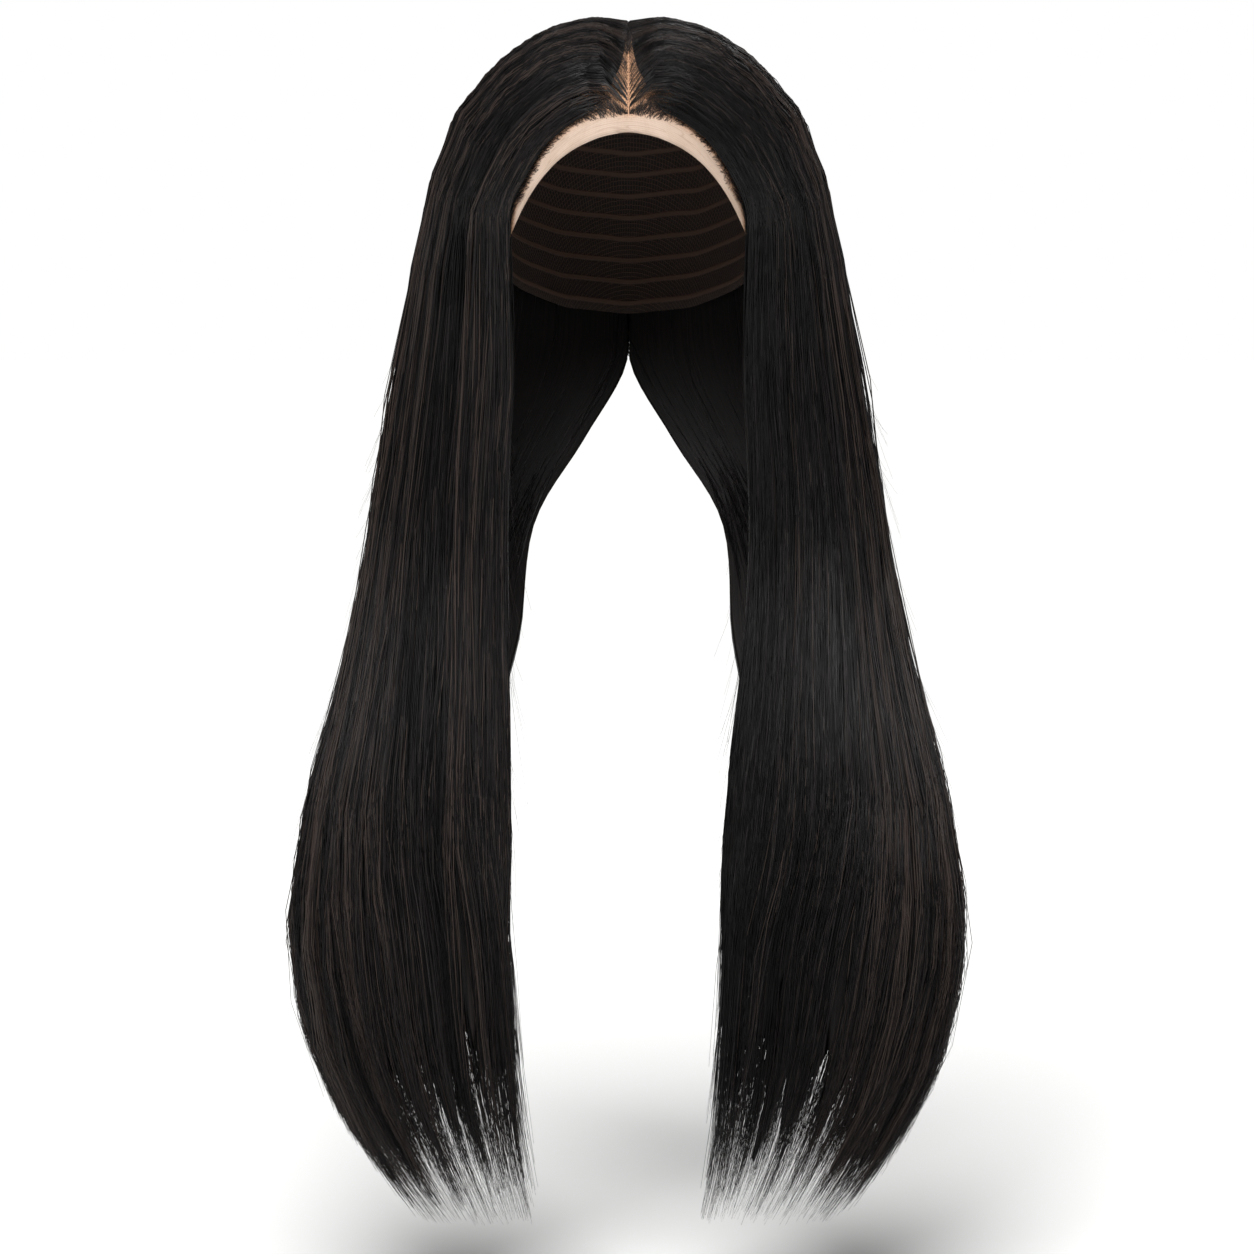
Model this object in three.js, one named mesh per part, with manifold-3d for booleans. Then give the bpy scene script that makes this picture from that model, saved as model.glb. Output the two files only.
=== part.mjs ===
// A long straight human-hair wig with a centre parting, its hair drawn forward over both shoulders. A lace
// front carries the parting and the front hair, a net cap carries the rest, and the hair lies over both in
// full-length locks. Millimetres, +Z up, face towards -Y, the wearer's left towards +X.
// The origin is the point inside the cap that sits on the top of the head.
import * as THREE from "three";
import { mergeVertices } from "three/addons/utils/BufferGeometryUtils.js";
import Module from "manifold-3d";

const wasm = await Module();
wasm.setup();
const { clamp, degToRad, lerp, smoothstep } = THREE.MathUtils;

// Driving dimensions
const HEAD = { halfWidth: 78, halfLength: 98, crown: 98 }; // inside of the cap, for a 22 inch head
const CAP_WALL = 1.2;
const NAPE_TAPER = { share: 0.14, depth: 60 }; // how the cap draws in below its widest ring
const SEAM = { y: -8, gap: 0.4 }; // the lace front ends here, on a line from ear to ear
const SEAT_GAP = 0.4; // least space between the hair and the cap that it lies on
const HAIR_CLEARANCE = 1.2; // underside of the hair above the cap, before it is fitted to it
const MIDDLE_GAP = 0.5; // each side's hair to the middle plane
const SECTION_GAP = 0.006; // between front and back hair, as a share of the way round

// The cap's edge: its drop below the crown, by the turn from the forehead (-90) past the ear (0) to the
// nape (90).
const CAP_EDGE = [
  { turn: -90, drop: 54.3 },
  { turn: -78, drop: 57 },
  { turn: -68, drop: 62.5 },
  { turn: -60, drop: 69.5 },
  { turn: -53, drop: 79 },
  { turn: -45, drop: 93 },
  { turn: -38, drop: 106.5 },
  { turn: -32, drop: 115 },
  { turn: -20, drop: 121 },
  { turn: 0, drop: 118 },
  { turn: 15, drop: 126 },
  { turn: 35, drop: 140 },
  { turn: 60, drop: 151 },
  { turn: 90, drop: 155 },
];

// Hair on the crown, from the parting outwards. Each row is half an ellipse in plan on the cap, from the
// hairline (start turn) to the middle of the back, lifted off the cap by the thickness of the hair there.
const CROWN_ROWS = [
  { wide: 1.5, front: 68, back: 62, y: -15, start: -90, lift: 3 },
  { wide: 22, front: 79, back: 76, y: -12, start: -62, lift: 9.8 },
  { wide: 45, front: 81.6, back: 90, y: -10, start: -58, lift: 15.5 },
  { wide: 65, front: 87.4, back: 100, y: -8, start: -50, lift: 22 },
  { wide: 74, front: 93.2, back: 102, y: -5, start: -44.5, lift: 26 },
  { wide: 78, front: 98, back: 98, y: 0, start: -40, lift: 32 },
];

// Hair that hangs, by its drop below the crown. Each row is a stretch of an ellipse round (x, y), from
// the front inner edge (start turn) round the outside to the back (end turn), and deep is its thickness.
const FALL_ROWS = [
  { drop: 130, x: 0, y: 5, wide: 118.5, front: 76, back: 117, start: -57.6, end: 90, deep: 36 },
  { drop: 180, x: 0, y: 4, wide: 126.5, front: 71, back: 106, start: -60.6, end: 90, deep: 34 },
  { drop: 225, x: 10, y: 0, wide: 124, front: 67, back: 92, start: -64, end: 82, deep: 31 },
  { drop: 270, x: 35, y: -5, wide: 106, front: 63, back: 68, start: -73.6, end: 79, deep: 28 },
  { drop: 327, x: 65, y: -35, wide: 84.5, front: 45, back: 40, start: -92, end: 95, deep: 25 },
  { drop: 390, x: 90, y: -68, wide: 76.5, front: 32, back: 29, start: -115, end: 105, deep: 22 },
  { drop: 438, x: 106, y: -82, wide: 69, front: 27, back: 25, start: -136, end: 128, deep: 20 },
  { drop: 481, x: 117.3, y: -90, wide: 61.4, front: 24, back: 22, start: -165, end: 158, deep: 18 },
  { drop: 539, x: 111.7, y: -96, wide: 55.7, front: 20, back: 18, start: -170, end: 165, deep: 15 },
  { drop: 590, x: 96.5, y: -101, wide: 44.5, front: 15, back: 14, start: -172, end: 168, deep: 11 },
  { drop: 634, x: 75, y: -105, wide: 31, front: 9, back: 8, start: -174, end: 170, deep: 6 },
];

// Share of a row's full thickness, by the way round from the hairline (0) to the back (1).
const THICKNESS = [
  { way: 0, share: 0.1 },
  { way: 0.08, share: 0.5 },
  { way: 0.2, share: 0.87 },
  { way: 0.32, share: 1 },
  { way: 0.6, share: 0.75 },
  { way: 1, share: 0.55 },
];
const WIDEST_WAY = 0.32; // the way round where every row reaches furthest sideways

// The locks of one side, in order: the way round where each starts, the depth of the groove there and the
// drop where its tip ends. A section's last row closes it.
const LOCKS = {
  front: [
    { from: 0, groove: 0.3, tip: 630 },
    { from: 0.045, groove: 0.24, tip: 615 },
    { from: 0.09, groove: 0.42, tip: 634 },
    { from: 0.14, groove: 0.2, tip: 620 },
    { from: 0.185, groove: 0.36, tip: 628 },
    { from: 0.24, groove: 0.24, tip: 611 },
    { from: 0.285, groove: 0.4, tip: 624 },
    { from: 0.34, groove: 0.22, tip: 605 },
    { from: 0.4, groove: 0.36 },
  ],
  back: [
    { from: 0.4, groove: 0.36, tip: 613 },
    { from: 0.465, groove: 0.22, tip: 626 },
    { from: 0.54, groove: 0.4, tip: 607 },
    { from: 0.615, groove: 0.24, tip: 622 },
    { from: 0.69, groove: 0.36, tip: 611 },
    { from: 0.77, groove: 0.22, tip: 626 },
    { from: 0.85, groove: 0.4, tip: 609 },
    { from: 0.925, groove: 0.24, tip: 618 },
    { from: 1, groove: 0.3 },
  ],
};
const CREST = [0.3, 0.7]; // places across a lock where it stands out fully
const CROWN_RINGS = [0, 0.4, 0.8, 1.3, 1.8, 2.3, 2.8, 3.4, 4.1, 5]; // crown rows with a ring of points
const FALL_RINGS = [130, 165, 200, 235, 270, 305, 342, 380, 418, 452, 483, 513, 541]; // drops with one
const TIP = { steps: [0.3, 0.6, 0.85], narrowing: 0.75 }; // rings of a free tip, by share of its length

// The inner edges of the two sides don't hang alike: each leans by this much, fully from the last drop on.
const SIDES = { left: { mirror: 1, lean: -7.5 }, right: { mirror: -1, lean: 6.5 } };
const LEAN_DROPS = { none: 270, full: 410 };

const CAP_TURNS = 36;
const CAP_RINGS = 9;
const CAP_RING_SPREAD = 1.7; // rings lie closer together towards the crown

// Value of a column at a place in a table whose rows are sorted by the key column.
function tableValue(rows, key, column, place) {
  const next = rows.findIndex((row) => row[key] >= place);
  if (next === 0) return rows[0][column];
  if (next < 0) return rows.at(-1)[column];
  const [low, high] = [rows[next - 1], rows[next]];
  return lerp(low[column], high[column], (place - low[key]) / (high[key] - low[key]));
}

// A surface that is put together from loops of points.
class Surface {
  points = [];
  index = [];

  loop(points) {
    const first = this.points.length;
    this.points.push(...points);
    return points.map((_, i) => first + i);
  }

  bridge(loop, next) {
    loop.forEach((corner, i) => {
      const j = (i + 1) % loop.length;
      this.index.push(corner, loop[j], next[i], loop[j], next[j], next[i]);
    });
  }

  close(loop, point) {
    const [middle] = this.loop([point]);
    loop.forEach((corner, i) => this.index.push(corner, loop[(i + 1) % loop.length], middle));
  }

  solid() {
    const geometry = new THREE.BufferGeometry().setFromPoints(this.points);
    geometry.setIndex(this.index);
    return toSolid(geometry);
  }
}

// A closed solid through rings of equal length, drawn to a point at both ends.
function loft(rings, firstPoint, lastPoint) {
  const surface = new Surface();
  const loops = rings.map((ring) => surface.loop(ring));
  for (let i = 0; i + 1 < loops.length; i++) surface.bridge(loops[i], loops[i + 1]);
  surface.close(loops[0].toReversed(), firstPoint);
  surface.close(loops.at(-1), lastPoint);
  return surface.solid();
}

// A three.js geometry as a solid that can be joined and cut, with its faces turned outwards.
function toSolid(geometry) {
  geometry.deleteAttribute("normal");
  geometry.deleteAttribute("uv");
  const merged = mergeVertices(geometry, 1e-4);
  const solidFrom = (triVerts) => {
    const vertProperties = merged.attributes.position.array;
    return new wasm.Manifold(new wasm.Mesh({ numProp: 3, vertProperties, triVerts }));
  };
  const triVerts = new Uint32Array(merged.index.array);
  const solid = solidFrom(triVerts);
  return solid.volume() > 0 ? solid : solidFrom(triVerts.reverse());
}

// A solid as a named mesh.
function toMesh(name, solid, finish) {
  const { vertProperties, triVerts } = solid.getMesh();
  const geometry = new THREE.BufferGeometry();
  geometry.setAttribute("position", new THREE.BufferAttribute(vertProperties, 3));
  geometry.setIndex(new THREE.BufferAttribute(triVerts, 1));
  geometry.computeVertexNormals();
  const mesh = new THREE.Mesh(geometry, new THREE.MeshStandardMaterial(finish));
  mesh.name = name;
  return mesh;
}

// Point of the cap's inside, or of its outside with the wall added, at a turn and a drop below the crown.
function capPoint(turn, drop, wall) {
  const { halfWidth, halfLength, crown } = HEAD;
  const below = Math.max(0, drop - crown);
  const round = drop < crown ? Math.sqrt(1 - ((crown - drop) / crown) ** 2) : 1;
  const reach = round - NAPE_TAPER.share * (below / NAPE_TAPER.depth) ** 2;
  const rise = drop < crown ? (crown - drop) * (1 + wall / crown) : crown - drop;
  const angle = degToRad(turn);
  return new THREE.Vector3(
    (halfWidth + wall) * reach * Math.cos(angle),
    (halfLength + wall) * reach * Math.sin(angle),
    rise - crown,
  );
}

// The cap's rings from the crown to its edge, with the wall added.
function capRings(wall) {
  return Array.from({ length: CAP_RINGS }, (_, step) =>
    Array.from({ length: CAP_TURNS }, (_, i) => {
      const turn = (360 * i) / CAP_TURNS - 90;
      const side = turn <= 90 ? turn : 180 - turn;
      const edge = tableValue(CAP_EDGE, "turn", "drop", side);
      return capPoint(turn, edge * ((step + 1) / CAP_RINGS) ** CAP_RING_SPREAD, wall);
    }),
  );
}

// The whole hollow cap, before the seam parts it into lace and net.
function capShell() {
  const rings = [...capRings(CAP_WALL), ...capRings(0).reverse()];
  return loft(rings, new THREE.Vector3(0, 0, CAP_WALL), new THREE.Vector3(0, 0, 0));
}

// The space that the cap fills, with the seat gap round it: no hair reaches into it.
function capForm() {
  const wall = CAP_WALL + SEAT_GAP;
  return loft(capRings(wall), new THREE.Vector3(0, 0, wall), new THREE.Vector3(0, 0, -HEAD.crown));
}

// A block that holds everything in front of the seam, or behind it.
function seamBlock(towards) {
  const reach = 4 * HEAD.halfLength;
  const block = new THREE.BoxGeometry(reach, reach, 2 * reach);
  block.translate(0, SEAM.y + (towards * (reach + SEAM.gap)) / 2, 0);
  return toSolid(block);
}

// Turn of a row at a way round: it starts at the front edge and is 0 where the row is widest.
function turnAt(way, start, end) {
  const before = start * (1 - way / WIDEST_WAY);
  const after = (end * (way - WIDEST_WAY)) / (1 - WIDEST_WAY);
  return degToRad(way < WIDEST_WAY ? before : after);
}

// Point of a crown row at a way round, as far down in the hair as depth says: 0 outside, 1 on the cap.
function crownPoint(row, way, depth) {
  const { halfWidth, halfLength, crown } = HEAD;
  const angle = turnAt(way, row.start, 90);
  const reach = Math.sin(angle) < 0 ? row.front : row.back;
  const x = row.wide * Math.cos(angle);
  const y = row.y + reach * Math.sin(angle);
  const inside = Math.max(0, 1 - (x / halfWidth) ** 2 - (y / halfLength) ** 2);
  const up = crown * Math.sqrt(inside);
  const normal = new THREE.Vector3(x / halfWidth ** 2, y / halfLength ** 2, up / crown ** 2).normalize();
  const thickness = row.lift * tableValue(THICKNESS, "way", "share", way);
  const lift = lerp(CAP_WALL + HAIR_CLEARANCE + thickness, CAP_WALL + HAIR_CLEARANCE, depth);
  return new THREE.Vector3(x, y, up - crown).addScaledVector(normal, lift);
}

// Point of a hanging row at a way round and a depth.
function fallPoint(row, way, depth, lean) {
  const angle = turnAt(way, row.start, row.end);
  const inset = depth * row.deep * tableValue(THICKNESS, "way", "share", way);
  const reach = (Math.sin(angle) < 0 ? row.front : row.back) - inset;
  const leaning = lean * smoothstep(row.drop, LEAN_DROPS.none, LEAN_DROPS.full);
  const x = row.x + (row.wide - inset) * Math.cos(angle) + (leaning * (1 - Math.cos(angle))) / 2;
  return new THREE.Vector3(x, row.y + reach * Math.sin(angle), -row.drop);
}

// The line that a hair of one side follows from the parting to the lowest row, at a row number.
function hairPoint(place, way, depth, side) {
  const rows = [
    ...CROWN_ROWS.map((row) => crownPoint(row, way, depth)),
    ...FALL_ROWS.map((row) => fallPoint(row, way, depth, side.lean)),
  ];
  const line = new THREE.CatmullRomCurve3(rows, false, "catmullrom", 0.5);
  const point = line.getPoint(place / (rows.length - 1));
  point.x = side.mirror * Math.max(point.x, MIDDLE_GAP);
  return point;
}

// Row number of a drop among the hanging rows.
function fallPlace(drop) {
  const rows = FALL_ROWS.map((row, i) => ({ drop: row.drop, place: CROWN_ROWS.length + i }));
  return tableValue(rows, "drop", "place", drop);
}

// The front or back hair of one side: one body with a crest for each lock, which parts into tips.
function hairSection(rows, side) {
  const first = rows[0].from > 0 ? rows[0].from + SECTION_GAP : 0;
  const last = rows.at(-1).from < 1 ? rows.at(-1).from - SECTION_GAP : 1;
  const edges = rows.map((row) => clamp(row.from, first, last));
  const locks = rows.slice(0, -1);
  const at = (place, way, depth) => hairPoint(place, way, depth, side);
  const crestWays = (i) => CREST.map((across) => lerp(edges[i], edges[i + 1], across));

  const ring = (place) => {
    const outer = locks.flatMap((lock, i) => [
      at(place, edges[i], lock.groove),
      ...crestWays(i).map((way) => at(place, way, 0)),
    ]);
    const inner = edges.map((way) => at(place, way, 1));
    return [...outer, at(place, last, rows.at(-1).groove), ...inner.reverse()];
  };

  const surface = new Surface();
  const places = [...CROWN_RINGS, ...FALL_RINGS.map(fallPlace)];
  const loops = places.map((place) => surface.loop(ring(place)));
  for (let i = 0; i + 1 < loops.length; i++) surface.bridge(loops[i], loops[i + 1]);

  const outerStep = CREST.length + 1;
  const lockLoop = (loop, i) => {
    const outer = loop.slice(i * outerStep, (i + 1) * outerStep + 1);
    return [...outer, loop.at(-i - 2), loop.at(-i - 1)];
  };
  locks.forEach((lock, i) => {
    const middle = (edges[i] + edges[i + 1]) / 2;
    surface.close(lockLoop(loops[0], i).toReversed(), at(0, middle, 0.5));
    const corners = [
      { way: edges[i], depth: lock.groove },
      ...crestWays(i).map((way) => ({ way, depth: 0 })),
      { way: edges[i + 1], depth: rows[i + 1].groove },
      { way: edges[i + 1], depth: 1 },
      { way: edges[i], depth: 1 },
    ];
    let previous = lockLoop(loops.at(-1), i);
    for (const share of TIP.steps) {
      const place = fallPlace(lerp(FALL_RINGS.at(-1), lock.tip, share));
      const narrow = TIP.narrowing * share;
      const next = surface.loop(
        corners.map(({ way, depth }) => at(place, lerp(way, middle, narrow), lerp(depth, 0.5, narrow))),
      );
      surface.bridge(previous, next);
      previous = next;
    }
    surface.close(previous, at(fallPlace(lock.tip), middle, 0.5));
  });

  return surface.solid().subtract(capForm());
}

const LACE = { color: "#d2ad90", roughness: 0.85, metalness: 0 };
const NET = { color: "#3a2a22", roughness: 0.9, metalness: 0 };
const HAIR = { color: "#1d1816", roughness: 0.45, metalness: 0 };

const wig = new THREE.Group();
const shell = capShell();
wig.add(toMesh("lace_front", shell.intersect(seamBlock(-1)), LACE));
wig.add(toMesh("net_cap", shell.intersect(seamBlock(1)), NET));
for (const [sideName, side] of Object.entries(SIDES))
  for (const [sectionName, rows] of Object.entries(LOCKS))
    wig.add(toMesh(`hair_${sectionName}_${sideName}`, hairSection(rows, side), HAIR));

export default wig;
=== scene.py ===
# A long straight human-hair wig with a centre parting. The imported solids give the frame; here the hair gets
# its strands, the lace its mesh and the cap its net. Tables are in millimetres, as the part's source has them.
import math

import bmesh
import bpy
import numpy as np
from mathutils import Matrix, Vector


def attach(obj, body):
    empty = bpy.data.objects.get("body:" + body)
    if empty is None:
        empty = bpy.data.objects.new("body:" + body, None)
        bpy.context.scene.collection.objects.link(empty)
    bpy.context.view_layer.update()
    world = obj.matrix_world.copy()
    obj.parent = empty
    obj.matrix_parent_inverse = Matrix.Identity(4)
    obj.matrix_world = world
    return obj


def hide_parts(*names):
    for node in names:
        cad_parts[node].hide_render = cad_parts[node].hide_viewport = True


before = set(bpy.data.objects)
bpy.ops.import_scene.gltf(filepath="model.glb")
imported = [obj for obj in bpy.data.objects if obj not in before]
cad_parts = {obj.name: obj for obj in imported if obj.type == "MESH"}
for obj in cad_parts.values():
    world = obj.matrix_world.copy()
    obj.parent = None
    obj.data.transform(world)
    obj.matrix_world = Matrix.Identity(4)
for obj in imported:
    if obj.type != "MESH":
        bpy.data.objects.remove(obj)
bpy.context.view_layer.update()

MM = 0.001
SEED = 26

# --- The form of the wig, as the solids have it -------------------------------------------------------------

HALF_WIDTH, HALF_LENGTH, CROWN = 78.0, 98.0, 98.0  # inside of the cap
CAP_WALL = 1.2
NAPE_SHARE, NAPE_DEPTH = 0.14, 60.0
SEAM_Y, SEAM_GAP = -8.0, 0.4
HAIR_CLEARANCE = 1.2
MIDDLE_GAP = 0.5

# turn from the front (-90) past the side (0) to the nape (90), drop of the cap's edge there
CAP_EDGE = np.array([
    (-90, 54.3), (-78, 57), (-68, 62.5), (-60, 69.5), (-53, 79), (-45, 93), (-38, 106.5),
    (-32, 115), (-20, 121), (0, 118), (15, 126), (35, 140), (60, 151), (90, 155),
], float)

# wide, front, back, y, start, lift
CROWN_ROWS = np.array([
    (1.5, 68, 62, -15, -90, 3),
    (22, 79, 76, -12, -62, 9.8),
    (45, 81.6, 90, -10, -58, 15.5),
    (65, 87.4, 100, -8, -50, 22),
    (74, 93.2, 102, -5, -44.5, 26),
    (78, 98, 98, 0, -40, 32),
], float)

# drop, x, y, wide, front, back, start, end, deep
FALL_ROWS = np.array([
    (130, 0, 5, 118.5, 76, 117, -57.6, 90, 36),
    (180, 0, 4, 126.5, 71, 106, -60.6, 90, 34),
    (225, 10, 0, 124, 67, 92, -64, 82, 31),
    (270, 35, -5, 106, 63, 68, -73.6, 79, 28),
    (327, 65, -35, 84.5, 45, 40, -92, 95, 25),
    (390, 90, -68, 76.5, 32, 29, -115, 105, 22),
    (438, 106, -82, 69, 27, 25, -136, 128, 20),
    (481, 117.3, -90, 61.4, 24, 22, -165, 158, 18),
    (539, 111.7, -96, 55.7, 20, 18, -170, 165, 15),
    (590, 96.5, -101, 44.5, 15, 14, -172, 168, 11),
    (634, 75, -105, 31, 9, 8, -174, 170, 6),
], float)
CROWN_COUNT, LAST_ROW = len(CROWN_ROWS), len(CROWN_ROWS) + len(FALL_ROWS) - 1

# way round from the hairline (0) to the back (1), share of the full thickness
THICKNESS = np.array([(0, 0.1), (0.08, 0.5), (0.2, 0.87), (0.32, 1), (0.6, 0.75), (1, 0.55)])
WIDEST_WAY = 0.32
FIRST_WAY = -0.06  # fine hairs reach this far before the hairline
BACK_TURN = 90.0  # turn in degrees of the middle of the back

# way where a lock starts, depth of the groove there, drop of its tip
LOCKS = {
    "front": np.array([
        (0, 0.3, 630), (0.045, 0.24, 615), (0.09, 0.42, 634), (0.14, 0.2, 620), (0.185, 0.36, 628),
        (0.24, 0.24, 611), (0.285, 0.4, 624), (0.34, 0.22, 605), (0.4, 0.36, 605),
    ]),
    "back": np.array([
        (0.4, 0.36, 613), (0.465, 0.22, 626), (0.54, 0.4, 607), (0.615, 0.24, 622), (0.69, 0.36, 611),
        (0.77, 0.22, 626), (0.85, 0.4, 609), (0.925, 0.24, 618), (1, 0.3, 618),
    ]),
}
SIDES = {"left": (1.0, -7.5), "right": (-1.0, 6.5)}  # mirror, lean of the inner edge
LEAN_DROPS = (270.0, 410.0)


def smooth(low, high, value):
    """Smooth step from 0 at low to 1 at high."""
    t = np.clip((value - low) / (high - low), 0, 1)
    return t * t * (3 - 2 * t)


def turn_at(way, start, end):
    """Turn of a row at a way round, in radians: 0 where the row is widest."""
    before = start * (1 - way / WIDEST_WAY)
    after = end * (way - WIDEST_WAY) / (1 - WIDEST_WAY)
    return np.radians(np.where(way < WIDEST_WAY, before, after))


def row_points(row, way, depth, lean, sink):
    """Points of the hair's rows at a way round and a depth: 0 outside, 1 on the cap. sink lowers crown points."""
    share = np.interp(way, *THICKNESS.T)
    columns = CROWN_ROWS[np.minimum(row, CROWN_COUNT - 1)]
    wide, front, back, y0, start, lift = np.moveaxis(columns, -1, 0)
    angle = turn_at(way, start, BACK_TURN)
    x = wide * np.cos(angle)
    y = y0 + np.where(np.sin(angle) < 0, front, back) * np.sin(angle)
    up = CROWN * np.sqrt(np.maximum(0, 1 - (x / HALF_WIDTH) ** 2 - (y / HALF_LENGTH) ** 2))
    normal = np.stack([x / HALF_WIDTH**2, y / HALF_LENGTH**2, up / CROWN**2], -1)
    normal /= np.linalg.norm(normal, axis=-1, keepdims=True)
    high = CAP_WALL + HAIR_CLEARANCE - sink + lift * share * (1 - depth)
    on_crown = np.stack([x, y, up - CROWN], -1) + normal * high[..., None]

    columns = FALL_ROWS[np.clip(row - CROWN_COUNT, 0, len(FALL_ROWS) - 1)]
    drop, x0, y0, wide, front, back, start, end, deep = np.moveaxis(columns, -1, 0)
    angle = turn_at(way, start, end)
    inset = depth * deep * share
    reach = np.where(np.sin(angle) < 0, front, back) - inset
    leaning = lean * smooth(*LEAN_DROPS, drop)
    x = x0 + (wide - inset) * np.cos(angle) + leaning * (1 - np.cos(angle)) / 2
    hanging = np.stack([x, y0 + reach * np.sin(angle), -drop], -1)
    return np.where((row < CROWN_COUNT)[..., None], on_crown, hanging)


def hair_points(place, way, depth, side, sink=0.0):
    """Points in millimetres at a row number, a way round and a depth, on a smooth line through the rows."""
    mirror, lean = SIDES[side]
    place, way, depth, sink = np.broadcast_arrays(place, np.clip(way, FIRST_WAY, 1), depth, sink)
    first = np.clip(np.floor(place).astype(int), 0, LAST_ROW - 1)
    t = (np.clip(place, 0, LAST_ROW) - first)[..., None]
    before, here, there, after = (
        row_points(np.clip(first + step, 0, LAST_ROW), way, depth, lean, sink) for step in (-1, 0, 1, 2)
    )
    before = np.where((first == 0)[..., None], 2 * here - there, before)
    after = np.where((first == LAST_ROW - 1)[..., None], 2 * there - here, after)
    out, back = (there - before) / 2, (after - here) / 2
    points = (
        (2 * here - 2 * there + out + back) * t**3
        + (3 * there - 3 * here - 2 * out - back) * t**2
        + out * t
        + here
    )
    points[..., 0] = mirror * np.maximum(points[..., 0], MIDDLE_GAP)
    return points


def fall_place(drop):
    """Row number of a drop among the hanging rows."""
    return np.interp(drop, FALL_ROWS[:, 0], np.arange(CROWN_COUNT, LAST_ROW + 1))


def cap_edge(turn):
    """Drop of the cap's edge, its table drawn as a smooth line."""
    window, margin = 15, 12  # degrees
    fine = np.arange(-90, 91)
    table = np.pad(np.interp(fine, *CAP_EDGE.T), margin, "reflect")
    bell = np.hanning(window) / np.hanning(window).sum()
    return np.interp(turn, fine, np.convolve(table, bell, "same")[margin:-margin])


def cap_reach(drop):
    """Share of the cap's full width that it has at a drop."""
    inside = np.clip((CROWN - drop) / CROWN, 0, 1)
    return np.sqrt(1 - inside**2) - NAPE_SHARE * (np.maximum(0, drop - CROWN) / NAPE_DEPTH) ** 2


def cap_points(turn, drop, wall):
    """Points of the cap's inside, or with the wall added of its outside."""
    reach = cap_reach(drop)
    rise = np.where(drop < CROWN, (CROWN - drop) * (1 + wall / CROWN), CROWN - drop)
    angle = np.radians(turn)
    return np.stack([
        (HALF_WIDTH + wall) * reach * np.cos(angle),
        (HALF_LENGTH + wall) * reach * np.sin(angle),
        rise - CROWN,
    ], -1)


# --- Materials ----------------------------------------------------------------------------------------------


def linear(hex_colour):
    """A shader colour from an sRGB hex value."""
    values = (int(hex_colour[i:i + 2], 16) / 255 for i in (1, 3, 5))
    return (*(v / 12.92 if v <= 0.04045 else ((v + 0.055) / 1.055) ** 2.4 for v in values), 1.0)


def node(tree, kind, settings=None, links=None, stops=(), **inputs):
    """Adds a node. Settings are its own properties, inputs are socket values, links are sockets to join, and stops
    are the places and sRGB hex colours of a ramp."""
    made = tree.nodes.new(kind)
    for name, value in (settings or {}).items():
        setattr(made, name, value)
    for name, value in inputs.items():
        made.inputs[name].default_value = value
    for name, source in (links or {}).items():
        tree.links.new(source, made.inputs[name])
    if stops:
        elements = made.color_ramp.elements
        while len(elements) < len(stops):
            elements.new(1.0)
        for element, (place, colour) in zip(elements, stops):
            element.position = place
            element.color = linear(colour)
    return made


def material(name):
    """An empty material, and its tree to fill."""
    made = bpy.data.materials.new(name)
    made.use_nodes = True
    made.node_tree.nodes.clear()
    return made, made.node_tree


# Natural black human hair: nearly black, with warm brown strands among cool black ones, and a soft broad sheen
# because the scales of every strand scatter the light a little.
def strand_material():
    made, tree = material("human_hair_strands")
    tone = node(tree, "ShaderNodeAttribute", {"attribute_name": "tone"}).outputs["Fac"]
    colour = node(
        tree, "ShaderNodeValToRGB", links={"Fac": tone},
        stops=(
            (0.0, "#030303"), (0.3, "#0d0b0b"), (0.5, "#171313"),
            (0.65, "#221e1e"), (0.8, "#251f1d"), (1.0, "#372e2a"),
        ),
    ).outputs["Color"]
    shader = node(
        tree, "ShaderNodeBsdfPrincipled", links={"Base Color": colour},
        **{"Roughness": 0.38, "IOR": 1.55, "Specular IOR Level": 0.22},
    )
    node(tree, "ShaderNodeOutputMaterial", links={"Surface": shader.outputs[0]})
    return made


# The same hair where it lies closed in the depth of a lock, drawn as streaks along the strands; its colour is
# darker than the strands as painted shade, since little light reaches that deep. A real hair is 0.07 mm thick; the
# streaks are drawn 0.6 mm wide, 1.2 mm from one to the next, so that they show.
def mass_material():
    made, tree = material("human_hair_depth_painted_shade")
    flow = node(tree, "ShaderNodeUVMap", {"uv_map": "HairFlow"}).outputs["UV"]
    stretch = node(tree, "ShaderNodeMapping", links={"Vector": flow}, Scale=(1 / 1.2, 1 / 150, 1))
    streaks = node(
        tree, "ShaderNodeTexNoise", {"noise_dimensions": "2D"}, {"Vector": stretch.outputs[0]},
        Scale=1.0, Detail=4.0, Roughness=0.6,
    ).outputs["Fac"]
    colour = node(
        tree, "ShaderNodeValToRGB", links={"Fac": streaks},
        stops=((0.3, "#080707"), (0.55, "#100d0c"), (0.75, "#191311")),
    ).outputs["Color"]
    bump = node(tree, "ShaderNodeBump", links={"Height": streaks}, Strength=0.6, Distance=0.0006)
    shader = node(
        tree, "ShaderNodeBsdfPrincipled", links={"Base Color": colour, "Normal": bump.outputs[0]},
        **{"Roughness": 0.55, "IOR": 1.55, "Specular IOR Level": 0.15},
    )
    node(tree, "ShaderNodeOutputMaterial", links={"Surface": shader.outputs[0]})
    return made


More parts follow.
